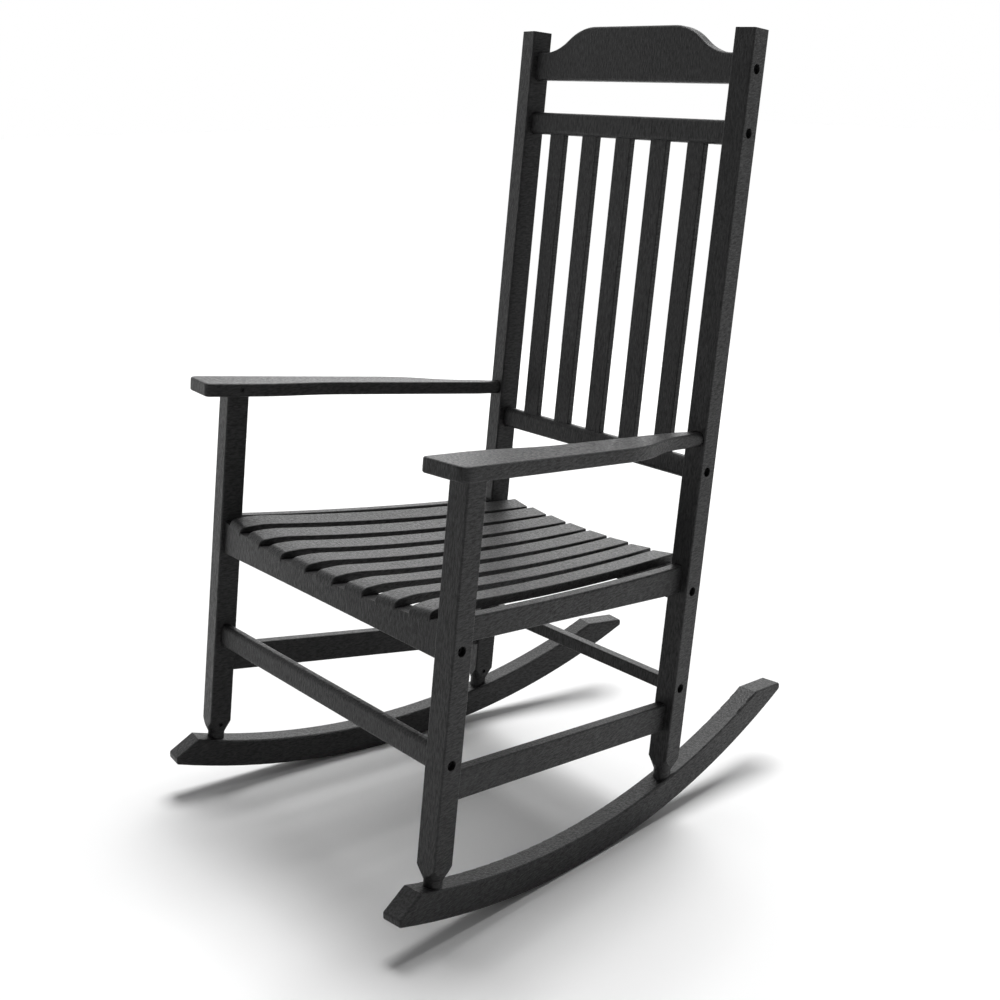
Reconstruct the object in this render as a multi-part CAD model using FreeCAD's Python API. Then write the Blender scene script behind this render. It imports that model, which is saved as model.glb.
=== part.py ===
import FreeCAD, Part
import math
import os
from FreeCAD import Placement, Rotation, Vector

# Porch rocking chair of solid moulded plastic members. Lengths are in millimetres, angles in degrees.
# The frame is drawn square to its posts: x across the chair, v backward from the front posts, and h up
# along the posts. At the end the whole frame leans back onto its rockers, with the floor at z = 0, the
# line where the rockers touch it at y = 0, and the sitter facing -y. Left and right are the sitter's own.

# Posture
LEAN = 6.75                     # posts behind the vertical when the empty chair is at rest
CONTACT_BEHIND_FRONT = 290.0    # floor contact behind the foot of the front posts' centre lines

# Spread of the posts
FRONT_HALF_SPREAD = 288.0       # centre plane to the front posts' centres
BACK_HALF_SPREAD = 227.0
POST_SPACING = 480.0            # front to back, centre to centre

# Posts
POST_SIDE = 34.0
POST_EDGE = 2.5
BACK_POST_TOP = 1218.0
FOOT_END_RADIUS = 13.2
FOOT_TAPER_SLOPE = 26.0         # half angle of the turned foot

# Joints
TENON = 9.0                     # rails between a pair of posts
SIDE_TENON = 6.0                # members between a front and a back post
REVEAL = 0.7                    # dark line left round the ends of the rounded members
SNUG = 0.1                      # clearance round the ends of the square members

# Rockers
ROCKER_RADIUS = 1128.0
ROCKER_DEPTH = 43.5
ROCKER_WIDTH = 34.0
ROCKER_EDGE = 3.0
ROCKER_FRONT = 355.0            # contact line to the front nose
ROCKER_FRONT_BEVEL = 38.0
ROCKER_BACK = 498.0
ROCKER_BACK_BEVEL = 69.0
ROCKER_NOSE = 10.5              # height of the blunt end below each bevel
ROCKER_NOSE_EDGE = 4.0

# Foot pegs
NECK = 11.0                     # peg shown between rocker and post
PEG_RADIUS = 12.7
PEG_DEPTH_IN_ROCKER = 24.0
SPIGOT_RADIUS = 8.0
SPIGOT_LENGTH = 40.0
PEG_CLEARANCE = 0.1

# Seat surface
SEAT_FRONT = 443.4
SEAT_FALL = 17.5
SEAT_RISE = 24.5
NOSE_DROP = 6.0
NOSE_RUN = 25.0
NOSE_REACH = 55.0               # the front of each slat rolls down over this length
DISH = 7.5
MID_DISH = 15.0
SEAT_EDGE_INSET = 37.0          # outer edge of the slats inside the posts' centre lines

# Seat slats
SEAT_SLATS = 8
SLAT_WIDTH = 39.6
SLAT_THICKNESS = 12.5
SLAT_NOSE_RADIUS = 11.0
SLAT_EDGE = 1.5
SLAT_BITE = 0.5                 # each slat beds this far into its rails
SLAT_OVERHANG = 1.0             # nose of each slat ahead of the front rail
SEAT_BOW_RADIUS = 2000.0
SEAT_BOW_FRONT = 31.0           # front of the middle slats ahead of the post centres

# Seat rails
RAIL_THICKNESS = 18.0
FRONT_RAIL_THICKNESS = 30.0
FRONT_RAIL_TENON_BACK = 9.0     # the tenons stop here behind the post centres, the rail goes on behind
FRONT_RAIL_BOTTOM = 387.0
FRONT_RAIL_ARCH = 11.0
BACK_RAIL_BOTTOM = 396.0
SIDE_RAIL_BOTTOM = 411.5
SIDE_RAIL_DROP = 3.0            # top of a side rail below the edge of the seat
SIDE_MEMBER_OFFSET = -4.6       # middle of the side members from the post centres, inward
SQUARE_EDGE = 2.5

# Back
CREST_BOTTOM = 1144.0
CREST_SHOULDER = 42.0
CREST_HEIGHT = 80.3
CREST_CROWN_HALF = 85.0
CREST_SWEEP_INSET = 27.0        # the sweeps end this far inside the posts' centre lines
CREST_EDGE = 4.5
UPPER_RAIL_MIDDLE = 1077.5
UPPER_RAIL_HEIGHT = 34.0
LOWER_RAIL_MIDDLE = 597.0
LOWER_RAIL_HEIGHT = 32.0
ROUND_EDGE = 7.0
BACK_SLATS = 5
BACK_SLAT_WIDTH = 33.6
BACK_SLAT_THICKNESS = 10.0
BACK_SLAT_PITCH = 75.2
BACK_SLAT_TENON = 13.0
BACK_SLAT_EDGE = 1.5

# Stretchers
FRONT_STRETCHER_MIDDLE = 255.0
FRONT_STRETCHER_HEIGHT = 35.0
REAR_STRETCHER_MIDDLE = 264.5
REAR_STRETCHER_HEIGHT = 20.0
SIDE_STRETCHER_BOTTOM = 195.5
SIDE_STRETCHER_HEIGHT = 42.0

# Arms, laid out beside the line of the post centres
ARM_BOTTOM = 632.0
ARM_THICKNESS = 20.0
ARM_FRONT = 57.0                # ahead of the front post's centre
ARM_OUTER = 47.0
ARM_INNER_FRONT = 29.0
ARM_INNER_BACK = 12.5
ARM_END_OUTER = 14.0
ARM_OUTER_CORNER = 15.0
ARM_INNER_CORNER = 8.0
ARM_EDGE = 3.0
ARM_SWEEP_START = 262.0
ARM_SWEEP_END = 424.0
ARM_INNER_SWEEP_START = 5.0
ARM_INNER_SWEEP_END = 190.0
ARM_TENON = 15.0
ARM_RISE = 0.3                  # slope up to the back
ARM_ROUNDING_LENGTH = 40.0
ARM_PEG_RADIUS = 8.0
ARM_PEG_IN_POST = 30.0
ARM_PEG_IN_ARM = 15.5

# Screws: frame screws lie deep in wide counterbores, the small ones lock the pegs and hold the slats
FRAME_BORE_RADIUS = 7.0
FRAME_BORE_DEPTH = 11.0
FRAME_HEAD_RADIUS = 5.8
FRAME_HEAD = 4.0
FRAME_SHANK_RADIUS = 2.75
FRAME_SCREW_LENGTH = 48.0
LOCK_BORE_RADIUS = 3.6
LOCK_BORE_DEPTH = 4.5
LOCK_HEAD_RADIUS = 3.2
LOCK_HEAD = 2.0
LOCK_SHANK_RADIUS = 1.75
LOCK_SCREW_LENGTH = 18.0
SLAT_SCREW_BORE_RADIUS = 4.5
SLAT_SCREW_HEAD_RADIUS = 4.0
SLAT_SCREW_HEAD = 2.5
SLAT_SCREW_SHANK_RADIUS = 2.0
SLAT_SCREW_LENGTH = 30.0
SLAT_SCREW_IN_SLAT = 9.0
SCREW_CLEARANCE = 0.05
SCREW_SOCKET_WIDTH = 0.5        # hexagon across its corners, as a share of the head
SCREW_SOCKET_DEPTH = 0.6        # as a share of the head
SEAT_RAIL_SCREW = 20.0          # above the bottom of a seat rail
SIDE_RAIL_SCREW_RISE = 8.0      # above the middle of a side rail
CREST_SCREW = 20.0              # above the bottom of the crest rail
LOCK_SCREW_RISE = 15.0          # above the end of a foot
ARM_LOCK_SCREW_RISE = 1.0       # above the middle of the arm

# Making
BEYOND = 100.0                  # how far a blank or cutter runs past the piece
NEAR = 0.01                     # points nearer than this are one

AXIS_X = Vector(1, 0, 0)
AXIS_Y = Vector(0, 1, 0)
AXIS_Z = Vector(0, 0, 1)

TOE = math.degrees(math.atan2(FRONT_HALF_SPREAD - BACK_HALF_SPREAD, POST_SPACING))
SIDE_SPACING = math.hypot(FRONT_HALF_SPREAD - BACK_HALF_SPREAD, POST_SPACING)
HALF_POST = POST_SIDE / 2
HALF_RAIL = RAIL_THICKNESS / 2

# A side frame is drawn flat: x outward, y backward from the front post, z up. This sets it in the chair.
SIDE_FRAME = Placement(Vector(FRONT_HALF_SPREAD, 0, 0), Rotation(AXIS_Z, TOE))
# An arm is drawn level and then tipped up about its bearing on the front edge of the post.
ARM_SET = Placement(Vector(0, 0, 0), Rotation(AXIS_X, ARM_RISE), Vector(0, -POST_SIDE / 2, ARM_BOTTOM))
# This leans the finished frame back and sets the contact line at the origin.
REST = Placement(Vector(0, -CONTACT_BEHIND_FRONT, 0), Rotation(AXIS_X, -LEAN))


def placed(shape, placement):
    """A copy of the shape moved by the placement."""
    return shape.transformed(placement.toMatrix(), True)


def outline_face(edges):
    """Flat face bounded by a closed ring of edges."""
    return Part.Face(Part.Wire(Part.__sortEdges__(edges)))


def rounded_rectangle(width, height, radius):
    """Face in the x-y plane, centred, with rounded corners."""
    radius = min(radius, 0.499 * min(width, height))
    a = width / 2
    b = height / 2
    inner_a = a - radius
    inner_b = b - radius
    edges = []
    for side_x, side_y, start in ((1, 1, 0), (-1, 1, 90), (-1, -1, 180), (1, -1, 270)):
        centre = Vector(side_x * inner_a, side_y * inner_b, 0)
        edges.append(Part.makeCircle(radius, centre, AXIS_Z, start, start + 90))
    edges.append(Part.makeLine(Vector(inner_a, b, 0), Vector(-inner_a, b, 0)))
    edges.append(Part.makeLine(Vector(-a, inner_b, 0), Vector(-a, -inner_b, 0)))
    edges.append(Part.makeLine(Vector(-inner_a, -b, 0), Vector(inner_a, -b, 0)))
    edges.append(Part.makeLine(Vector(a, -inner_b, 0), Vector(a, inner_b, 0)))
    return outline_face(edges)


def bar_along_x(x0, x1, v, h, depth, height, radius):
    """Bar running across the chair, its section centred at v and h."""
    face = rounded_rectangle(depth, height, radius)
    face = placed(face, Placement(Vector(x0, v, h), Rotation(Vector(1, 1, 1), 120)))
    return face.extrude(Vector(x1 - x0, 0, 0))


def bar_along_y(y0, y1, x, z, width, height, radius):
    """Bar running front to back, its section centred at x and z."""
    face = rounded_rectangle(width, height, radius)
    face = placed(face, Placement(Vector(x, y0, z), Rotation(AXIS_X, 90)))
    return face.extrude(Vector(0, y1 - y0, 0))


def bar_along_z(z0, z1, x, y, width, depth, radius):
    """Upright bar, its section centred at x and y."""
    face = rounded_rectangle(width, depth, radius)
    face.translate(Vector(x, y, z0))
    return face.extrude(Vector(0, 0, z1 - z0))


def tangent_arc(foot, tangent, tip):
    """Arc from foot, which it leaves along the tangent line, to tip."""
    chord = tip - foot
    across = chord - tangent * chord.dot(tangent)
    radius = chord.Length ** 2 / (2 * across.Length)
    centre = foot + across * (radius / across.Length)
    bulge = (foot - centre) + (tip - centre)
    bulge.normalize()
    return Part.Arc(foot, centre + bulge * radius, tip).toShape()


def s_curve(start, end, tangent):
    """Two equal arcs that leave start and reach end along the same tangent direction."""
    middle = (start + end) * 0.5
    return [tangent_arc(start, tangent, middle), tangent_arc(end, tangent, middle)]


def rounded_edges(solid, radius, wanted):
    """The solid with the edges rounded whose bounding box is wanted."""
    edges = [edge for edge in solid.Edges if wanted(edge.BoundBox)]
    return solid.makeFillet(radius, edges)


def mirrored(shape):
    """The same piece for the other side of the chair."""
    return shape.mirror(Vector(0, 0, 0), AXIS_X)


def single(shape):
    """The one solid that a cut or common leaves."""
    solids = shape.Solids
    return max(solids, key=lambda solid: solid.Volume)


def cut_all(solid, cutters):
    """The solid less every cutter."""
    return single(solid.cut(cutters)) if cutters else solid


# Seat surface

def seat_half_width(v):
    """Centre plane to the outer edge of the slats."""
    share = v / POST_SPACING
    return FRONT_HALF_SPREAD + (BACK_HALF_SPREAD - FRONT_HALF_SPREAD) * share - SEAT_EDGE_INSET


def seat_front(x):
    """Front of the seat, bowed forward at the middle."""
    return -SEAT_BOW_FRONT + SEAT_BOW_RADIUS - math.sqrt(SEAT_BOW_RADIUS ** 2 - x ** 2)


def seat_height(x, v):
    """Top of the seat at a place across and along it."""
    share = v / POST_SPACING
    along = SEAT_FRONT - SEAT_FALL * share + SEAT_RISE * share ** 3
    nose = NOSE_DROP * math.exp(-(v - seat_front(x)) / NOSE_RUN)
    dish = DISH + MID_DISH * share * (1 - share)
    return along - nose + dish * (x / seat_half_width(v)) ** 2


def slat_place(number):
    """Position of a seat slat across the fan, from -1 at the right edge to 1 at the left edge."""
    return 2 * number / (SEAT_SLATS - 1) - 1


def slat_centre(place, v):
    """Middle line of the slat at a place across the fan."""
    return (seat_half_width(v) - SLAT_WIDTH / 2) * place


def seat_slat(number):
    """Contoured slat, square at the back, rolled over at the front, following the fan and the dish."""
    place = slat_place(number)
    fan = math.degrees(math.atan2(slat_centre(place, 0) - slat_centre(place, POST_SPACING), POST_SPACING))
    x_front = slat_centre(place, 0)
    front = seat_front(slat_centre(place, -SEAT_BOW_FRONT)) - SLAT_OVERHANG
    back = POST_SPACING + HALF_RAIL
    along = math.cos(math.radians(fan))

    def on_top(v):
        return Vector(0, v / along, seat_height(slat_centre(place, v), v))

    first = on_top(front)
    rolled = on_top(front + NOSE_REACH)
    middle = on_top((front + NOSE_REACH + back) / 2)
    last = on_top(back)
    main_arc = Part.Arc(rolled, middle, last).toShape()
    centre = main_arc.Curve.Center
    radial = rolled - centre
    tangent = AXIS_X.cross(radial)
    tangent.normalize()

    def under(point):
        return point + (point - centre) * (SLAT_THICKNESS / radial.Length)

    first_under = first - AXIS_Z * SLAT_THICKNESS
    edges = [
        tangent_arc(rolled, tangent, first),
        main_arc,
        Part.makeLine(last, under(last)),
        Part.Arc(under(rolled), under(middle), under(last)).toShape(),
        tangent_arc(under(rolled), tangent, first_under),
        Part.makeLine(first_under, first),
    ]
    face = outline_face(edges)
    face.translate(Vector(-SLAT_WIDTH / 2, 0, 0))
    slat = face.extrude(Vector(SLAT_WIDTH, 0, 0))

    def at_nose(box):
        straight_across = box.YLength < NEAR and box.ZLength < NEAR
        return straight_across and abs(box.YMin - first.y) < NEAR and abs(box.ZMin - first.z) < NEAR

    slat = rounded_edges(slat, SLAT_NOSE_RADIUS, at_nose)

    def along_top(box):
        highest = max(on_top(box.YMin * along).z, on_top(box.YMax * along).z)
        lengthwise = box.XLength < NEAR and box.YLength > NOSE_REACH / 2
        return lengthwise and abs(box.ZMax - highest) < SLAT_THICKNESS / 2

    slat = rounded_edges(slat, SLAT_EDGE, along_top)
    half = seat_half_width(POST_SPACING / 2)
    slope = 2 * (DISH + MID_DISH / 4) * place / half
    pivot = Vector(0, 0, seat_height(slat_centre(place, POST_SPACING / 2), POST_SPACING / 2))
    slat.rotate(pivot, AXIS_Y, -math.degrees(math.atan(slope)))
    return placed(slat, Placement(Vector(x_front, 0, 0), Rotation(AXIS_Z, fan)))


# Rockers stand upright in planes that toe in with the posts, and are drawn with y from the contact line.

def rest_point(x, v, h):
    """Where a point of the square frame is once the chair stands on the floor."""
    return REST.multVec(Vector(x, v, h))


def rocker_plane():
    """Placement of the right way up rocker drawing, from its own plane into the chair at rest."""
    front = rest_point(FRONT_HALF_SPREAD, 0, 0)
    back = rest_point(BACK_HALF_SPREAD, POST_SPACING, 0)
    toe = math.atan2(front.x - back.x, back.y - front.y)
    x_at_contact = front.x + front.y * math.tan(toe)
    return Placement(Vector(x_at_contact, 0, 0), Rotation(AXIS_Z, math.degrees(toe)))


ROCKER_PLANE = rocker_plane()


def on_arc(radius, y):
    """Point of a rocker arc about the common centre above the contact line."""
    return Vector(0, y, ROCKER_RADIUS - math.sqrt(radius ** 2 - y ** 2))


def rocker():
    """Left rocker, a slice of a ring with bevelled ends, in the chair at rest."""
    top_radius = ROCKER_RADIUS - ROCKER_DEPTH
    front_low = on_arc(ROCKER_RADIUS, -ROCKER_FRONT)
    front_high = front_low + Vector(0, 0, ROCKER_NOSE)
    front_top = on_arc(top_radius, -ROCKER_FRONT + ROCKER_FRONT_BEVEL)
    back_low = on_arc(ROCKER_RADIUS, ROCKER_BACK)
    back_high = back_low + Vector(0, 0, ROCKER_NOSE)
    back_top = on_arc(top_radius, ROCKER_BACK - ROCKER_BACK_BEVEL)
    edges = [
        Part.Arc(front_low, on_arc(ROCKER_RADIUS, 0), back_low).toShape(),
        Part.makeLine(back_low, back_high),
        Part.makeLine(back_high, back_top),
        Part.Arc(back_top, on_arc(top_radius, 0), front_top).toShape(),
        Part.makeLine(front_top, front_high),
        Part.makeLine(front_high, front_low),
    ]
    face = outline_face(edges)
    face.translate(Vector(-ROCKER_WIDTH / 2, 0, 0))
    body = face.extrude(Vector(ROCKER_WIDTH, 0, 0))
    noses = (front_low, front_high, back_low, back_high)

    def at_nose(box):
        straight_across = box.YLength < NEAR and box.ZLength < NEAR
        return straight_across and any(
            abs(box.YMin - nose.y) < NEAR and abs(box.ZMin - nose.z) < NEAR for nose in noses)

    body = rounded_edges(body, ROCKER_NOSE_EDGE, at_nose)
    body = rounded_edges(body, ROCKER_EDGE, lambda box: box.XLength < NEAR)
    return placed(body, ROCKER_PLANE)


def height_on_rocker(x, v):
    """Height along a post, at which its centre line meets the top of the rocker."""
    base = ROCKER_PLANE.inverse().multVec(rest_point(x, v, 0))
    tip = ROCKER_PLANE.inverse().multVec(rest_point(x, v, 1))
    rise_y = tip.y - base.y
    rise_z = tip.z - base.z
    drop = base.z - ROCKER_RADIUS
    a = rise_y ** 2 + rise_z ** 2
    b = 2 * (base.y * rise_y + drop * rise_z)
    c = base.y ** 2 + drop ** 2 - (ROCKER_RADIUS - ROCKER_DEPTH) ** 2
    return (-b - math.sqrt(b ** 2 - 4 * a * c)) / (2 * a)


FRONT_ROCKER_HEIGHT = height_on_rocker(FRONT_HALF_SPREAD, 0)
BACK_ROCKER_HEIGHT = height_on_rocker(BACK_HALF_SPREAD, POST_SPACING)
FRONT_FOOT = FRONT_ROCKER_HEIGHT + NECK
BACK_FOOT = BACK_ROCKER_HEIGHT + NECK


def foot_peg(rocker_height, foot, y, clearance=0.0):
    """Peg with a wide end in the rocker and a spigot up the post, in the flat side frame."""
    low = rocker_height - PEG_DEPTH_IN_ROCKER
    wide = Part.makeCylinder(PEG_RADIUS + clearance, foot - low, Vector(0, y, low))
    spigot = Part.makeCylinder(SPIGOT_RADIUS + clearance, SPIGOT_LENGTH + clearance, Vector(0, y, foot))
    return wide.fuse(spigot).removeSplitter()


def post(y, foot, top):
    """Square post with a foot turned down to a cone, in the flat side frame."""
    body = bar_along_z(foot, top, 0, y, POST_SIDE, POST_SIDE, POST_EDGE)
    reach = top - foot
    spread = FOOT_END_RADIUS + reach * math.tan(math.radians(FOOT_TAPER_SLOPE))
    cone = Part.makeCone(FOOT_END_RADIUS, spread, reach, Vector(0, y, foot))
    return single(body.common(cone))


# Members between a pair of posts. Each has a matching cutter, larger all round, for its mortises.

def inner_face(half_spread, v, post_v):
    """Half width between the inner faces of a pair of posts, at v."""
    toe = math.radians(TOE)
    return half_spread - (HALF_POST + (v - post_v) * math.sin(toe)) / math.cos(toe)


def cross_member(half_spread, post_v, h, height, radius, gap=0.0):
    """Straight member across the chair between a pair of posts, with its end tenons."""
    reach = inner_face(half_spread, post_v, post_v) + TENON
    depth = RAIL_THICKNESS + 2 * gap
    return bar_along_x(-reach, reach, post_v, h, depth, height + 2 * gap, radius + gap)


def side_member(bottom, height, gap=0.0):
    """Member from front to back post on the left, in the flat side frame."""
    y0 = HALF_POST - SIDE_TENON
    y1 = SIDE_SPACING - HALF_POST + SIDE_TENON
    width = RAIL_THICKNESS + 2 * gap
    middle = bottom + height / 2
    return bar_along_y(y0, y1, SIDE_MEMBER_OFFSET, middle, width, height + 2 * gap, SQUARE_EDGE + gap)


def side_rail(gap=0.0):
    """Side seat rail, its top edge hollowed along the edge of the seat."""
    y0 = HALF_POST - SIDE_TENON
    y1 = SIDE_SPACING - HALF_POST + SIDE_TENON
    toe = math.cos(math.radians(TOE))

    def top(y):
        v = y * toe
        return Vector(0, y, seat_height(seat_half_width(v), v) - SIDE_RAIL_DROP + gap)

    low = SIDE_RAIL_BOTTOM - gap
    edges = [
        Part.Arc(top(y0), top((y0 + y1) / 2), top(y1)).toShape(),
        Part.makeLine(top(y1), Vector(0, y1, low)),
        Part.makeLine(Vector(0, y1, low), Vector(0, y0, low)),
        Part.makeLine(Vector(0, y0, low), top(y0)),
    ]
    face = outline_face(edges)
    width = RAIL_THICKNESS + 2 * gap
    face.translate(Vector(SIDE_MEMBER_OFFSET - width / 2, 0, 0))
    rail = face.extrude(Vector(width, 0, 0))
    return rounded_edges(rail, SQUARE_EDGE + gap, lambda box: box.YLength > SIDE_SPACING / 2)


def front_seat_rail(gap=0.0):
    """Front seat rail: bowed in plan, arched below, hollowed above to the dish of the seat."""
    reach = inner_face(FRONT_HALF_SPREAD, 0, 0) + TENON
    centre_v = -SEAT_BOW_FRONT + SEAT_BOW_RADIUS
    outer = SEAT_BOW_RADIUS + gap
    inner = SEAT_BOW_RADIUS - FRONT_RAIL_THICKNESS - gap

    def bow(radius, x):
        return Vector(x, centre_v - math.sqrt(radius ** 2 - x ** 2), 0)

    plan = outline_face([
        Part.Arc(bow(outer, -reach), bow(outer, 0), bow(outer, reach)).toShape(),
        Part.makeLine(bow(outer, reach), bow(inner, reach)),
        Part.Arc(bow(inner, reach), bow(inner, 0), bow(inner, -reach)).toShape(),
        Part.makeLine(bow(inner, -reach), bow(outer, -reach)),
    ])
    blank = plan.extrude(Vector(0, 0, SEAT_FRONT + BEYOND))

    def top(x):
        under = seat_height(x, seat_front(x) + FRONT_RAIL_THICKNESS / 2) - SLAT_THICKNESS + SLAT_BITE
        return Vector(x, -BEYOND, under + gap)

    def bottom(x):
        arch = FRONT_RAIL_ARCH * (1 - (x / reach) ** 2)
        return Vector(x, -BEYOND, FRONT_RAIL_BOTTOM + arch - gap)

    elevation = outline_face([
        Part.Arc(top(-reach), top(0), top(reach)).toShape(),
        Part.makeLine(top(reach), bottom(reach)),
        Part.Arc(bottom(reach), bottom(0), bottom(-reach)).toShape(),
        Part.makeLine(bottom(-reach), top(-reach)),
    ])
    rail = single(blank.common(elevation.extrude(Vector(0, 2 * BEYOND, 0))))
    shoulder = inner_face(FRONT_HALF_SPREAD, HALF_POST, 0)
    waste_corner = Vector(shoulder, FRONT_RAIL_TENON_BACK + gap, 0)
    waste = Part.makeBox(BEYOND, BEYOND, 2 * SEAT_FRONT, waste_corner)
    rail = single(rail.cut([waste, mirrored(waste)]))

    def lower(box):
        return box.XLength > reach and box.ZMax < FRONT_RAIL_BOTTOM + FRONT_RAIL_ARCH + NEAR

    return rounded_edges(rail, SQUARE_EDGE + gap, lower)


def back_seat_rail(gap=0.0):
    """Back seat rail, straight, its top hollowed to the dish of the seat."""
    reach = inner_face(BACK_HALF_SPREAD, POST_SPACING, POST_SPACING) + TENON
    face_v = POST_SPACING - HALF_RAIL - gap

    def top(x):
        under = seat_height(x, POST_SPACING) - SLAT_THICKNESS + SLAT_BITE
        return Vector(x, face_v, under + gap)

    low = BACK_RAIL_BOTTOM - gap
    elevation = outline_face([
        Part.Arc(top(-reach), top(0), top(reach)).toShape(),
        Part.makeLine(top(reach), Vector(reach, face_v, low)),
        Part.makeLine(Vector(reach, face_v, low), Vector(-reach, face_v, low)),
        Part.makeLine(Vector(-reach, face_v, low), top(-reach)),
    ])
    rail = elevation.extrude(Vector(0, RAIL_THICKNESS + 2 * gap, 0))

    def lower(box):
        return box.XLength > reach and box.ZMax < low + NEAR

    return rounded_edges(rail, SQUARE_EDGE + gap, lower)


def crest_rail(gap=0.0):
    """Crest rail with a raised crown between two swept shoulders, rounded on every long edge."""
    reach = inner_face(BACK_HALF_SPREAD, POST_SPACING, POST_SPACING) + TENON
    face_v = POST_SPACING - HALF_RAIL - gap
    low = CREST_BOTTOM - gap
    shoulder = CREST_BOTTOM + CREST_SHOULDER + gap
    crown = CREST_BOTTOM + CREST_HEIGHT + gap
    crown_right = Vector(-CREST_CROWN_HALF, face_v, crown)
    crown_left = Vector(CREST_CROWN_HALF, face_v, crown)
    sweep_end = BACK_HALF_SPREAD - CREST_SWEEP_INSET
    sweep_right = Vector(-sweep_end, face_v, shoulder)
    sweep_left = Vector(sweep_end, face_v, shoulder)
    end_left = Vector(reach, face_v, shoulder)
    end_right = Vector(-reach, face_v, shoulder)
    edges = [Part.makeLine(crown_right, crown_left)]
    edges += s_curve(crown_left, sweep_left, AXIS_X)
    edges.append(Part.makeLine(sweep_left, end_left))
    edges.append(Part.makeLine(end_left, Vector(reach, face_v, low)))
    edges.append(Part.makeLine(Vector(reach, face_v, low), Vector(-reach, face_v, low)))
    edges.append(Part.makeLine(Vector(-reach, face_v, low), end_right))
    edges.append(Part.makeLine(end_right, sweep_right))
    edges += s_curve(sweep_right, crown_right, AXIS_X)
    face = outline_face(edges)
    rail = face.extrude(Vector(0, RAIL_THICKNESS + 2 * gap, 0))

    def long_edge(box):
        return box.YLength < NEAR and box.XLength > NEAR

    return rounded_edges(rail, CREST_EDGE + gap, long_edge)


def back_member(h, height, radius, gap):
    return cross_member(BACK_HALF_SPREAD, POST_SPACING, h, height, radius, gap)


def upper_back_rail(gap=0.0):
    return back_member(UPPER_RAIL_MIDDLE, UPPER_RAIL_HEIGHT, ROUND_EDGE, gap)


def lower_back_rail(gap=0.0):
    return back_member(LOWER_RAIL_MIDDLE, LOWER_RAIL_HEIGHT, ROUND_EDGE, gap)


def rear_stretcher(gap=0.0):
    return back_member(REAR_STRETCHER_MIDDLE, REAR_STRETCHER_HEIGHT, SQUARE_EDGE, gap)


def front_stretcher(gap=0.0):
    h = FRONT_STRETCHER_MIDDLE
    return cross_member(FRONT_HALF_SPREAD, 0, h, FRONT_STRETCHER_HEIGHT, ROUND_EDGE, gap)


def back_slat(number, gap=0.0):
    """Upright slat tenoned into the upper and lower back rails."""
    x = (number - (BACK_SLATS - 1) / 2) * BACK_SLAT_PITCH
    low = LOWER_RAIL_MIDDLE + LOWER_RAIL_HEIGHT / 2 - BACK_SLAT_TENON
    high = UPPER_RAIL_MIDDLE - UPPER_RAIL_HEIGHT / 2 + BACK_SLAT_TENON
    width = BACK_SLAT_WIDTH + 2 * gap
    depth = BACK_SLAT_THICKNESS + 2 * gap
    return bar_along_z(low, high, x, POST_SPACING, width, depth, BACK_SLAT_EDGE + gap)


# Arms, drawn in the flat side frame of the left side

def arm_end(y, radius, gap=0.0):
    """Section of the slim back end of the arm."""
    width = ARM_END_OUTER + ARM_INNER_BACK + 2 * gap
    face = rounded_rectangle(width, ARM_THICKNESS + 2 * gap, radius + gap)
    middle = Vector((ARM_END_OUTER - ARM_INNER_BACK) / 2, y, ARM_BOTTOM + ARM_THICKNESS / 2)
    return placed(face, Placement(middle, Rotation(AXIS_X, 90)))


def arm_tenon(y0, gap=0.0):
    """Fully rounded end of the arm that enters the back post."""
    y1 = SIDE_SPACING - HALF_POST + ARM_TENON
    tenon = arm_end(y0, ARM_THICKNESS / 2, gap).extrude(Vector(0, y1 - y0, 0))
    return placed(tenon, ARM_SET)


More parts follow.
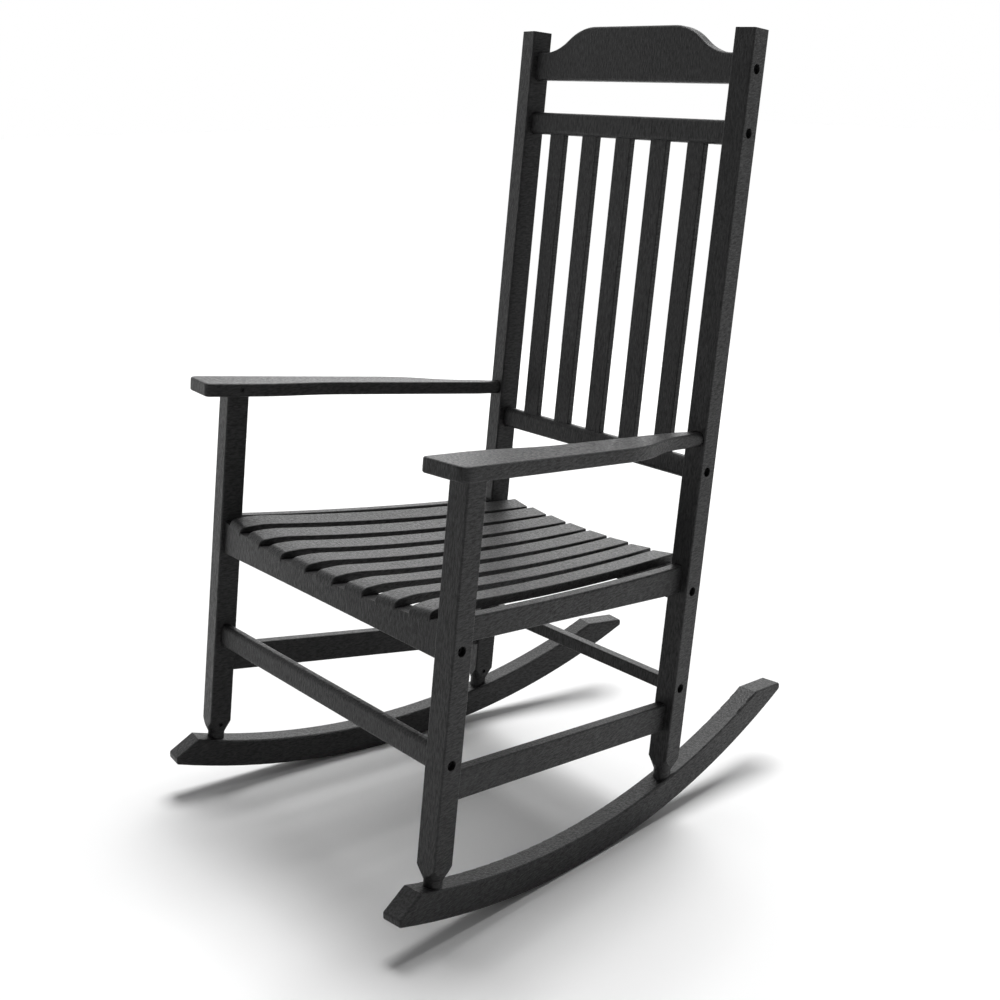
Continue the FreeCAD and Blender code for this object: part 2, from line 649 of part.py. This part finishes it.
def arm():
    """Flat arm, wide at the front, swept in on both edges to a slim rounded end."""
    end = SIDE_SPACING - HALF_POST - ARM_ROUNDING_LENGTH

    def at(x, y):
        return Vector(x, y, ARM_BOTTOM)

    outer_turn = at(ARM_OUTER - ARM_OUTER_CORNER, -ARM_FRONT + ARM_OUTER_CORNER)
    inner_turn = at(-ARM_INNER_FRONT + ARM_INNER_CORNER, -ARM_FRONT + ARM_INNER_CORNER)
    edges = [
        Part.makeLine(at(inner_turn.x, -ARM_FRONT), at(outer_turn.x, -ARM_FRONT)),
        Part.makeCircle(ARM_OUTER_CORNER, outer_turn, AXIS_Z, 270, 360),
        Part.makeLine(at(ARM_OUTER, outer_turn.y), at(ARM_OUTER, ARM_SWEEP_START)),
        Part.makeLine(at(ARM_END_OUTER, ARM_SWEEP_END), at(ARM_END_OUTER, end)),
        Part.makeLine(at(ARM_END_OUTER, end), at(-ARM_INNER_BACK, end)),
        Part.makeLine(at(-ARM_INNER_BACK, end), at(-ARM_INNER_BACK, ARM_INNER_SWEEP_END)),
        Part.makeLine(at(-ARM_INNER_FRONT, ARM_INNER_SWEEP_START), at(-ARM_INNER_FRONT, inner_turn.y)),
        Part.makeCircle(ARM_INNER_CORNER, inner_turn, AXIS_Z, 180, 270),
    ]
    edges += s_curve(at(ARM_OUTER, ARM_SWEEP_START), at(ARM_END_OUTER, ARM_SWEEP_END), AXIS_Y)
    inner_sweep = at(-ARM_INNER_BACK, ARM_INNER_SWEEP_END)
    edges += s_curve(inner_sweep, at(-ARM_INNER_FRONT, ARM_INNER_SWEEP_START), AXIS_Y)
    face = outline_face(edges)
    blade = face.extrude(Vector(0, 0, ARM_THICKNESS))

    def outline_edge(box):
        across_end = box.YMin > end - NEAR
        return box.ZLength < NEAR and not across_end

    blade = rounded_edges(blade, ARM_EDGE, outline_edge)
    start = arm_end(end, ARM_EDGE).OuterWire
    finish = arm_end(SIDE_SPACING - HALF_POST, ARM_THICKNESS / 2).OuterWire
    neck = Part.makeLoft([start, finish], True, True)
    body = placed(blade.fuse(neck), ARM_SET)
    return single(body.fuse(arm_tenon(SIDE_SPACING - HALF_POST)).removeSplitter())


def arm_peg(clearance=0.0):
    """Peg that stands in the front post and enters the arm from below."""
    low = ARM_BOTTOM - ARM_PEG_IN_POST - clearance
    length = ARM_PEG_IN_POST + ARM_PEG_IN_ARM + 2 * clearance
    return Part.makeCylinder(ARM_PEG_RADIUS + clearance, length, Vector(0, 0, low))


# Screws. Each kind has a cutter for its counterbore and pilot hole.

def screw(seat, direction, head_radius, head, shank_radius, length):
    """Headed screw with a hexagon socket: seat is where the underside of the head rests."""
    shank = Part.makeCylinder(shank_radius, length, seat, direction)
    cap = Part.makeCylinder(head_radius, head, seat - direction * head, direction)
    body = cap.fuse(shank).removeSplitter()
    level = AXIS_X if direction.isParallel(AXIS_Z, NEAR) else AXIS_Z.cross(direction)
    turned = Rotation(level, direction.cross(level), direction, "ZXY")
    corner = head_radius * SCREW_SOCKET_WIDTH
    sides = 6
    points = []
    for side in range(sides + 1):
        angle = 2 * math.pi * side / sides
        points.append(Vector(corner * math.cos(angle), corner * math.sin(angle), 0))
    socket = Part.Face(Part.makePolygon(points)).extrude(AXIS_Z * (head * SCREW_SOCKET_DEPTH))
    socket = placed(socket, Placement(seat - direction * head, turned))
    return single(body.cut(socket))


def screw_hole(seat, direction, bore_radius, bore_length, shank_radius, length):
    """Counterbore back from the seat, and pilot hole onward from it."""
    pilot = Part.makeCylinder(shank_radius + SCREW_CLEARANCE, length + SCREW_CLEARANCE, seat, direction)
    bore = Part.makeCylinder(bore_radius, bore_length, seat - direction * bore_length, direction)
    return bore.fuse(pilot)


def frame_screw(seat, direction):
    return screw(seat, direction, FRAME_HEAD_RADIUS, FRAME_HEAD, FRAME_SHANK_RADIUS, FRAME_SCREW_LENGTH)


def frame_hole(seat, direction):
    return screw_hole(seat, direction, FRAME_BORE_RADIUS, 2 * FRAME_BORE_DEPTH, FRAME_SHANK_RADIUS,
                      FRAME_SCREW_LENGTH)


def lock_screw(seat, direction):
    return screw(seat, direction, LOCK_HEAD_RADIUS, LOCK_HEAD, LOCK_SHANK_RADIUS, LOCK_SCREW_LENGTH)


def lock_hole(seat, direction):
    return screw_hole(seat, direction, LOCK_BORE_RADIUS, 3 * LOCK_BORE_DEPTH, LOCK_SHANK_RADIUS,
                      LOCK_SCREW_LENGTH)


def cross_screw_seats():
    """Seats of the left side's screws along the cross members: two in front, then five behind."""
    inward = math.cos(math.radians(TOE))
    seat = HALF_POST / inward - FRAME_BORE_DEPTH
    front = [FRONT_RAIL_BOTTOM + SEAT_RAIL_SCREW, FRONT_STRETCHER_MIDDLE]
    back = [
        CREST_BOTTOM + CREST_SCREW,
        UPPER_RAIL_MIDDLE,
        LOWER_RAIL_MIDDLE,
        BACK_RAIL_BOTTOM + SEAT_RAIL_SCREW,
        REAR_STRETCHER_MIDDLE,
    ]
    seats = [Vector(FRONT_HALF_SPREAD + seat, 0, h) for h in front]
    seats += [Vector(BACK_HALF_SPREAD + seat, POST_SPACING, h) for h in back]
    return seats


def rear_screw_seats():
    """Seats of the left side's screws that run forward through the back post, in the flat side frame."""
    y = SIDE_SPACING + HALF_POST - FRAME_BORE_DEPTH
    rail_middle = (SIDE_RAIL_BOTTOM + SEAT_FRONT) / 2
    stretcher_middle = SIDE_STRETCHER_BOTTOM + SIDE_STRETCHER_HEIGHT / 2
    arm_middle = ARM_BOTTOM + ARM_THICKNESS / 2 + SIDE_SPACING * math.tan(math.radians(ARM_RISE))
    return [
        Vector(0, y, rail_middle + SIDE_RAIL_SCREW_RISE),
        Vector(SIDE_MEMBER_OFFSET, y, stretcher_middle),
        Vector(0, y, arm_middle),
    ]


def lock_screw_seats():
    """Seats of the left side's locking screws, which run outward: two feet and the arm."""
    foot = -HALF_POST + LOCK_BORE_DEPTH
    inner = -ARM_INNER_FRONT + LOCK_BORE_DEPTH
    return [
        Vector(foot, 0, FRONT_FOOT + LOCK_SCREW_RISE),
        Vector(foot, SIDE_SPACING, BACK_FOOT + LOCK_SCREW_RISE),
        Vector(inner, 0, ARM_BOTTOM + ARM_THICKNESS / 2 + ARM_LOCK_SCREW_RISE),
    ]


def slat_screw_seats():
    """Seats of the screws that rise through the front and back rails into the slats."""
    seats = []
    for number in range(SEAT_SLATS):
        place = slat_place(number)
        front_x = slat_centre(place, -SEAT_BOW_FRONT + FRONT_RAIL_THICKNESS / 2)
        front_v = seat_front(front_x) + FRONT_RAIL_THICKNESS / 2
        back_x = slat_centre(place, POST_SPACING)
        for x, v in ((front_x, front_v), (back_x, POST_SPACING)):
            tip = seat_height(x, v) - SLAT_THICKNESS + SLAT_SCREW_IN_SLAT
            seats.append(Vector(x, v, tip - SLAT_SCREW_LENGTH))
    return seats


def slat_screw(seat):
    return screw(seat, AXIS_Z, SLAT_SCREW_HEAD_RADIUS, SLAT_SCREW_HEAD, SLAT_SCREW_SHANK_RADIUS,
                 SLAT_SCREW_LENGTH)


def slat_hole(seat):
    return screw_hole(seat, AXIS_Z, SLAT_SCREW_BORE_RADIUS, BEYOND, SLAT_SCREW_SHANK_RADIUS,
                      SLAT_SCREW_LENGTH)


# Assembly: pieces are made, cut for one another, leaned onto the floor and written out.

def side_placed(shape):
    return placed(shape, SIDE_FRAME)


def write(name, shape):
    """Lean a piece drawn in the square frame onto the floor and write it."""
    placed(shape, REST).exportStep("parts/%s.step" % name)


def write_pair(name, shape):
    write(name + "_left", shape)
    write(name + "_right", mirrored(shape))


def main():
    os.makedirs("parts", exist_ok=True)
    cross_seats = cross_screw_seats()
    cross_holes = [frame_hole(seat, -AXIS_X) for seat in cross_seats]
    both_cross_holes = cross_holes + [mirrored(hole) for hole in cross_holes]
    rear_holes = [frame_hole(seat, -AXIS_Y) for seat in rear_screw_seats()]
    lock_seats = lock_screw_seats()
    lock_holes = [lock_hole(seat, AXIS_X) for seat in lock_seats]
    slat_seats = slat_screw_seats()
    slat_holes = [slat_hole(seat) for seat in slat_seats]

    # Posts, with the mortises of everything that enters them
    front_cutters = [front_seat_rail(SNUG), front_stretcher(REVEAL)]
    back_cutters = [
        back_seat_rail(SNUG),
        crest_rail(REVEAL),
        upper_back_rail(REVEAL),
        lower_back_rail(REVEAL),
        rear_stretcher(SNUG),
    ]
    side_cutters = [side_rail(SNUG), side_member(SIDE_STRETCHER_BOTTOM, SIDE_STRETCHER_HEIGHT, SNUG)]
    arm_mortise = arm_tenon(SIDE_SPACING - HALF_POST - POST_EDGE, REVEAL)
    front_peg = foot_peg(FRONT_ROCKER_HEIGHT, FRONT_FOOT, 0)
    back_peg = foot_peg(BACK_ROCKER_HEIGHT, BACK_FOOT, SIDE_SPACING)
    front_peg_bore = foot_peg(FRONT_ROCKER_HEIGHT, FRONT_FOOT, 0, PEG_CLEARANCE)
    back_peg_bore = foot_peg(BACK_ROCKER_HEIGHT, BACK_FOOT, SIDE_SPACING, PEG_CLEARANCE)
    top_peg_bore = arm_peg(PEG_CLEARANCE)

    front_post = post(0, FRONT_FOOT, ARM_BOTTOM)
    front_post = cut_all(front_post, side_cutters + [front_peg_bore, top_peg_bore] + lock_holes[:1])
    front_post = cut_all(side_placed(front_post), front_cutters + cross_holes[:2])
    write_pair("front_post", front_post)

    back_post = post(SIDE_SPACING, BACK_FOOT, BACK_POST_TOP)
    back_bores = [back_peg_bore] + rear_holes + lock_holes[1:2]
    back_post = cut_all(back_post, side_cutters + [arm_mortise] + back_bores)
    back_post = cut_all(side_placed(back_post), back_cutters + cross_holes[2:])
    write_pair("back_post", back_post)

    # Side members and arms
    rail = cut_all(side_rail(), rear_holes[:1])
    write_pair("side_seat_rail", side_placed(rail))
    stretcher = cut_all(side_member(SIDE_STRETCHER_BOTTOM, SIDE_STRETCHER_HEIGHT), rear_holes[1:2])
    write_pair("side_stretcher", side_placed(stretcher))
    left_arm = cut_all(arm(), [top_peg_bore, lock_holes[2], rear_holes[2]])
    write_pair("arm", side_placed(left_arm))

    # Pegs, each with the small hole of its locking screw
    write_pair("front_foot_peg", side_placed(cut_all(front_peg, lock_holes[:1])))
    write_pair("back_foot_peg", side_placed(cut_all(back_peg, lock_holes[1:2])))
    write_pair("arm_peg", side_placed(cut_all(arm_peg(), lock_holes[2:])))

    # Rockers are already at rest, so their peg bores are leaned to meet them
    bores = [placed(side_placed(bore), REST) for bore in (front_peg_bore, back_peg_bore)]
    left_rocker = cut_all(rocker(), bores)
    left_rocker.exportStep("parts/rocker_left.step")
    mirrored(left_rocker).exportStep("parts/rocker_right.step")

    # Seat
    slats = [seat_slat(number) for number in range(SEAT_SLATS)]
    front_rail = cut_all(front_seat_rail(), slats + both_cross_holes + slat_holes)
    back_rail = cut_all(back_seat_rail(), slats + both_cross_holes + slat_holes)
    write("front_seat_rail", front_rail)
    write("back_seat_rail", back_rail)
    for number, slat in enumerate(slats):
        write("seat_slat_%d" % (number + 1), cut_all(slat, slat_holes))

    # Back and stretchers
    back_slat_cutters = [back_slat(number, SNUG) for number in range(BACK_SLATS)]
    write("crest_rail", cut_all(crest_rail(), both_cross_holes))
    write("upper_back_rail", cut_all(upper_back_rail(), both_cross_holes + back_slat_cutters))
    write("lower_back_rail", cut_all(lower_back_rail(), both_cross_holes + back_slat_cutters))
    write("front_stretcher", cut_all(front_stretcher(), both_cross_holes))
    write("rear_stretcher", cut_all(rear_stretcher(), both_cross_holes))
    for number in range(BACK_SLATS):
        write("back_slat_%d" % (number + 1), back_slat(number))

    # Screws, grouped by kind
    cross_screws = [frame_screw(seat, -AXIS_X) for seat in cross_seats]
    write("frame_screws", Part.makeCompound(cross_screws + [mirrored(item) for item in cross_screws]))
    rear_screws = [side_placed(frame_screw(seat, -AXIS_Y)) for seat in rear_screw_seats()]
    write("rear_screws", Part.makeCompound(rear_screws + [mirrored(item) for item in rear_screws]))
    lock_screws = [side_placed(lock_screw(seat, AXIS_X)) for seat in lock_seats]
    write("lock_screws", Part.makeCompound(lock_screws + [mirrored(item) for item in lock_screws]))
    write("slat_screws", Part.makeCompound([slat_screw(seat) for seat in slat_seats]))


main()
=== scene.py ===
import math

import bpy
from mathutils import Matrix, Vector

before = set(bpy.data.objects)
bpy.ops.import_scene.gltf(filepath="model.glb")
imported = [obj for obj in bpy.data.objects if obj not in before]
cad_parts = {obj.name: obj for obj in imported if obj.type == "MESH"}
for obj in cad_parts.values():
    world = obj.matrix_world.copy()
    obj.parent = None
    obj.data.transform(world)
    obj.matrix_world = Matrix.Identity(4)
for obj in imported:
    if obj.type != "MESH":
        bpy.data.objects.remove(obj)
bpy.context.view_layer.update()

# The chair faces -y, x runs to the sitter's left and z = 0 is the floor.
# Places are in metres and angles in degrees.

# Camera of the photograph
CAMERA_PLACE = (1.6751, -1.2959, 1.1140)
CAMERA_PITCH = 73.486
CAMERA_TURN = 50.863
CAMERA_LENS = 53.65
SENSOR_WIDTH = 36.0
CAMERA_NEAR = 0.05
CAMERA_FAR = 100.0

# Colour and gloss of the moulded plastic
CHARCOAL = (0.0165, 0.0165, 0.0169)
CHARCOAL_WORN = (0.0300, 0.0300, 0.0306)
TONES = (1.0, 0.93, 1.06, 0.97)     # one material each, given to the pieces in turn
PLASTIC_IOR = 1.34
PLASTIC_ROUGHNESS = (0.54, 0.32)    # in the grain's grooves and on its ridges
STREAK_TONE = (0.84, 1.16)
GROOVE_TONE = (0.35, 1.5)
WORN_SHARE = (0.0, 0.55)

# Grain of the moulded plastic: noise cells per metre along each axis
LEAN = 6.75                         # the grain follows the posts, which lean back
FIBRE_FINE = 440.0
FIBRE_LONG = 115.0
FRONT_GRAIN = (FIBRE_FINE, FIBRE_FINE, FIBRE_LONG)
SIDE_GRAIN = (FIBRE_FINE, FIBRE_LONG, FIBRE_FINE)
TOP_GRAIN = (340.0, 238.0, 340.0)
PEBBLES = (1100.0, 1100.0, 1100.0)
FLOW = (9.0, 9.0, 2.5)
SCUFFS = (38.0, 38.0, 38.0)
GRAIN_SHARE = 0.8                   # of the relief; the pebbles make up the rest
EMBOSSING = 1.0
EMBOSSING_DEPTH = 0.0011
PATTERN_STEP = (3.1, 2.17, 4.03)    # metres from one material's pattern to the next
FACING_STEP = (0.60, 0.80)          # share of the normal at which one grain gives way to another

# Parts of a noise's range that are drawn out to the ranges above
GRAIN_MIDDLE = (0.34, 0.64)
NOISE_MIDDLE = (0.30, 0.70)
SCUFF_PEAKS = (0.52, 0.78)

# Plated screws, near-black: partly the steel's own dark plating and partly painted shade of the
# counterbored holes they sit in
STEEL_DARK_AND_HOLE_SHADE = (0.010, 0.010, 0.011, 1.0)
STEEL_PALE_AND_HOLE_SHADE = (0.040, 0.040, 0.042, 1.0)
STEEL_ROUGHNESS = (0.32, 0.58)
STEEL_METALLIC = 0.9
STEEL_BLOTCHES = (900.0, 900.0, 900.0)

# Floor
FLOOR_SIZE = 40.0
FLOOR_DROP = 0.0005                 # keeps the floor clear of the rockers' undersides
FLOOR_COLOUR = (0.93, 0.93, 0.93, 1.0)
FLOOR_ROUGHNESS = 0.9
FLOOR_SPECULAR = 0.1

# Light of the studio
FILL = 0.17
BACKDROP_TOWARD = (-0.776, 0.631, 0.0)
BACKDROP_STEP = (-0.35, 0.55)
BACKDROP_GLOW = (0.32, 1.0)         # as gloss sees it, behind the camera and behind the chair
OVERHEAD_STRENGTH = 3.10
OVERHEAD_SPREAD = 34
OVERHEAD_FROM = (-0.42, 0.65, 2.2)
SOFTBOX_PLACE = (-2.6, 2.3, 1.7)
SOFTBOX_TARGET = (0.0, 0.0, 0.5)
SOFTBOX_SIZE = 2.6
SOFTBOX_POWER = 24


def spread(tree, value, from_range, to_range, interpolation="LINEAR"):
    """The value moved from one range to another, and held within it."""
    made = tree.nodes.new("ShaderNodeMapRange")
    made.interpolation_type = interpolation
    made.inputs["From Min"].default_value = from_range[0]
    made.inputs["From Max"].default_value = from_range[1]
    made.inputs["To Min"].default_value = to_range[0]
    made.inputs["To Max"].default_value = to_range[1]
    tree.links.new(value, made.inputs["Value"])
    return made.outputs["Result"]


def maths(tree, operation, first, second=0.0, third=0.0):
    """One arithmetic step; each operand is a number or a socket."""
    made = tree.nodes.new("ShaderNodeMath")
    made.operation = operation
    for index, value in enumerate((first, second, third)):
        if isinstance(value, bpy.types.NodeSocket):
            tree.links.new(value, made.inputs[index])
        else:
            made.inputs[index].default_value = value
    return made.outputs[0]


def stretched_noise(tree, coordinates, scale, detail=3.0, roughness=0.55):
    """Noise stretched by a different scale along each axis of the members."""
    mapping = tree.nodes.new("ShaderNodeMapping")
    tree.links.new(coordinates, mapping.inputs["Vector"])
    mapping.inputs["Scale"].default_value = scale
    noise = tree.nodes.new("ShaderNodeTexNoise")
    noise.inputs["Scale"].default_value = 1.0
    noise.inputs["Detail"].default_value = detail
    noise.inputs["Roughness"].default_value = roughness
    tree.links.new(mapping.outputs["Vector"], noise.inputs["Vector"])
    return noise.outputs["Fac"]


def shifted(tree, coordinates, steps):
    """The coordinates moved, so that two materials don't share one pattern."""
    shift = tree.nodes.new("ShaderNodeVectorMath")
    shift.operation = "ADD"
    shift.inputs[1].default_value = [steps * length for length in PATTERN_STEP]
    tree.links.new(coordinates, shift.inputs[0])
    return shift.outputs[0]


def leaned(tree, coordinates):
    """The coordinates turned so that z runs along the posts."""
    turn = tree.nodes.new("ShaderNodeMapping")
    turn.vector_type = "POINT"
    turn.inputs["Rotation"].default_value = (math.radians(LEAN), 0, 0)
    tree.links.new(coordinates, turn.inputs["Vector"])
    return turn.outputs["Vector"]


def facing(tree, normal):
    """Whether a face looks sideways and whether it looks up or down, each from 0 to 1."""
    split = tree.nodes.new("ShaderNodeSeparateXYZ")
    tree.links.new(normal, split.inputs[0])
    shares = [maths(tree, "ABSOLUTE", split.outputs[axis]) for axis in ("X", "Z")]
    return [spread(tree, share, FACING_STEP, (0.0, 1.0), "SMOOTHSTEP") for share in shares]


def blend_values(tree, factor, first, second):
    """A number between the first and the second."""
    mix = tree.nodes.new("ShaderNodeMix")
    mix.data_type = "FLOAT"
    tree.links.new(factor, mix.inputs["Factor"])
    tree.links.new(first, mix.inputs["A"])
    tree.links.new(second, mix.inputs["B"])
    return mix.outputs["Result"]


def blend_colours(tree, factor, first, second):
    """A colour between the first and the second."""
    mix = tree.nodes.new("ShaderNodeMix")
    mix.data_type = "RGBA"
    sockets = {socket.identifier: socket for socket in mix.inputs}
    tree.links.new(factor, sockets["Factor_Float"])
    sockets["A_Color"].default_value = first
    sockets["B_Color"].default_value = second
    return [socket for socket in mix.outputs if socket.identifier == "Result_Color"][0]


def toned(colour, tone):
    """The colour made darker or paler, with its alpha."""
    return [channel * tone for channel in colour] + [1.0]


def plastic(name, tone, steps):
    """Charcoal moulded plastic: embossed grain, faint flow marks and paler rubbed patches."""
    material = bpy.data.materials.new(name)
    material.use_nodes = True
    tree = material.node_tree
    tree.nodes.clear()
    source = tree.nodes.new("ShaderNodeTexCoord")
    level = shifted(tree, source.outputs["Object"], steps)
    place = leaned(tree, level)
    sideways, upward = facing(tree, source.outputs["Normal"])

    grain = blend_values(
        tree, sideways, stretched_noise(tree, place, FRONT_GRAIN), stretched_noise(tree, level, SIDE_GRAIN))
    grain = blend_values(tree, upward, grain, stretched_noise(tree, place, TOP_GRAIN))
    pebbles = stretched_noise(tree, place, PEBBLES, detail=1.0)
    flow = stretched_noise(tree, place, FLOW, detail=4.0)
    scuffs = stretched_noise(tree, place, SCUFFS, detail=6.0, roughness=0.7)

    relief = maths(tree, "MULTIPLY", pebbles, 1 - GRAIN_SHARE)
    relief = maths(tree, "MULTIPLY_ADD", grain, GRAIN_SHARE, relief)
    bump = tree.nodes.new("ShaderNodeBump")
    bump.inputs["Strength"].default_value = EMBOSSING
    bump.inputs["Distance"].default_value = EMBOSSING_DEPTH
    tree.links.new(relief, bump.inputs["Height"])

    worn = spread(tree, scuffs, SCUFF_PEAKS, WORN_SHARE)
    colour = blend_colours(tree, worn, toned(CHARCOAL, tone), toned(CHARCOAL_WORN, tone))
    streaks = spread(tree, flow, NOISE_MIDDLE, STREAK_TONE)
    grooves = spread(tree, grain, GRAIN_MIDDLE, GROOVE_TONE)
    shade = tree.nodes.new("ShaderNodeHueSaturation")
    tree.links.new(colour, shade.inputs["Color"])
    tree.links.new(maths(tree, "MULTIPLY", streaks, grooves), shade.inputs["Value"])

    shader = tree.nodes.new("ShaderNodeBsdfPrincipled")
    shader.inputs["IOR"].default_value = PLASTIC_IOR
    tree.links.new(shade.outputs["Color"], shader.inputs["Base Color"])
    tree.links.new(spread(tree, grain, NOISE_MIDDLE, PLASTIC_ROUGHNESS), shader.inputs["Roughness"])
    tree.links.new(bump.outputs["Normal"], shader.inputs["Normal"])
    output = tree.nodes.new("ShaderNodeOutputMaterial")
    tree.links.new(shader.outputs["BSDF"], output.inputs["Surface"])
    return material


def hole_shaded_steel():
    """Plated screw steel, blotched and dulled, its colour darkened near to black, partly as painted shade
    of the counterbores the screws sit in.
    """
    material = bpy.data.materials.new("plated_steel_and_painted_hole_shade")
    material.use_nodes = True
    tree = material.node_tree
    shader = tree.nodes["Principled BSDF"]
    source = tree.nodes.new("ShaderNodeTexCoord")
    blotches = stretched_noise(tree, source.outputs["Object"], STEEL_BLOTCHES, detail=4.0)
    colour = blend_colours(tree, blotches, STEEL_DARK_AND_HOLE_SHADE, STEEL_PALE_AND_HOLE_SHADE)
    tree.links.new(colour, shader.inputs["Base Color"])
    tree.links.new(spread(tree, blotches, (0.0, 1.0), STEEL_ROUGHNESS), shader.inputs["Roughness"])
    shader.inputs["Metallic"].default_value = STEEL_METALLIC
    return material


def dress(objects):
    """Every CAD piece gets its material. Pieces differ a little, as separate mouldings do."""
    plastics = []
    for index, tone in enumerate(TONES):
        plastics.append(plastic("charcoal_plastic_%d" % index, tone, index))
    steel = hole_shaded_steel()
    for index, name in enumerate(sorted(objects)):
        # Screws take the near-black steel, whose darkness is partly painted shade of their counterbores
        chosen = steel if "screws" in name else plastics[index % len(plastics)]
        materials = objects[name].data.materials
        materials.clear()
        materials.append(chosen)


def floor():
    """Pale studio floor that keeps the shadow."""
    bpy.ops.mesh.primitive_plane_add(size=FLOOR_SIZE, location=(0, 0, -FLOOR_DROP))
    plane = bpy.context.object
    plane.name = "studio_floor"
    material = bpy.data.materials.new("studio_floor")
    material.use_nodes = True
    shader = material.node_tree.nodes["Principled BSDF"]
    shader.inputs["Base Color"].default_value = FLOOR_COLOUR
    shader.inputs["Roughness"].default_value = FLOOR_ROUGHNESS
    shader.inputs["Specular IOR Level"].default_value = FLOOR_SPECULAR
    plane.data.materials.append(material)


def room():
    """White to the camera, a backdrop behind the chair to gloss, and a faint fill to all else."""
    world = bpy.data.worlds.new("studio")
    bpy.context.scene.world = world
    world.use_nodes = True
    tree = world.node_tree
    background = tree.nodes["Background"]
    background.inputs["Color"].default_value = (1, 1, 1, 1)
    rays = tree.nodes.new("ShaderNodeLightPath")
    seen = rays.outputs["Is Camera Ray"]
    glossy = rays.outputs["Is Glossy Ray"]

    direction = tree.nodes.new("ShaderNodeTexCoord")
    toward = tree.nodes.new("ShaderNodeVectorMath")
    toward.operation = "DOT_PRODUCT"
    toward.inputs[1].default_value = BACKDROP_TOWARD
    tree.links.new(direction.outputs["Generated"], toward.inputs[0])
    backdrop = spread(tree, toward.outputs["Value"], BACKDROP_STEP, BACKDROP_GLOW, "SMOOTHSTEP")

    others = maths(tree, "SUBTRACT", 1.0, maths(tree, "MAXIMUM", seen, glossy))
    strength = maths(tree, "MULTIPLY_ADD", glossy, backdrop, seen)
    strength = maths(tree, "MULTIPLY_ADD", others, FILL, strength)
    tree.links.new(strength, background.inputs["Strength"])


def softbox():
    """Large soft lamp behind the chair, which gives the arms and slats their sheen."""
    light = bpy.data.lights.new("back_softbox", "AREA")
    light.shape = "DISK"
    light.size = SOFTBOX_SIZE
    light.energy = SOFTBOX_POWER
    made = bpy.data.objects.new("back_softbox", light)
    made.location = SOFTBOX_PLACE
    aim = Vector(SOFTBOX_TARGET) - Vector(SOFTBOX_PLACE)
    made.rotation_euler = aim.to_track_quat("-Z", "Y").to_euler()
    made.visible_camera = False
    bpy.context.scene.collection.objects.link(made)


def overhead():
    """Broad light from above and behind, which casts the soft shadow to the front."""
    light = bpy.data.lights.new("overhead", "SUN")
    light.energy = OVERHEAD_STRENGTH
    light.angle = math.radians(OVERHEAD_SPREAD)
    made = bpy.data.objects.new("overhead", light)
    made.rotation_euler = Vector(OVERHEAD_FROM).to_track_quat("Z", "Y").to_euler()
    bpy.context.scene.collection.objects.link(made)


def camera():
    """Camera at the photograph's place."""
    data = bpy.data.cameras.new("photo_camera")
    data.lens = CAMERA_LENS
    data.sensor_width = SENSOR_WIDTH
    data.clip_start = CAMERA_NEAR
    data.clip_end = CAMERA_FAR
    made = bpy.data.objects.new("photo_camera", data)
    made.location = CAMERA_PLACE
    made.rotation_euler = (math.radians(CAMERA_PITCH), 0, math.radians(CAMERA_TURN))
    bpy.context.scene.collection.objects.link(made)
    bpy.context.scene.camera = made


dress(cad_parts)
floor()
room()
softbox()
overhead()
camera()
bpy.context.scene.view_settings.view_transform = "Standard"
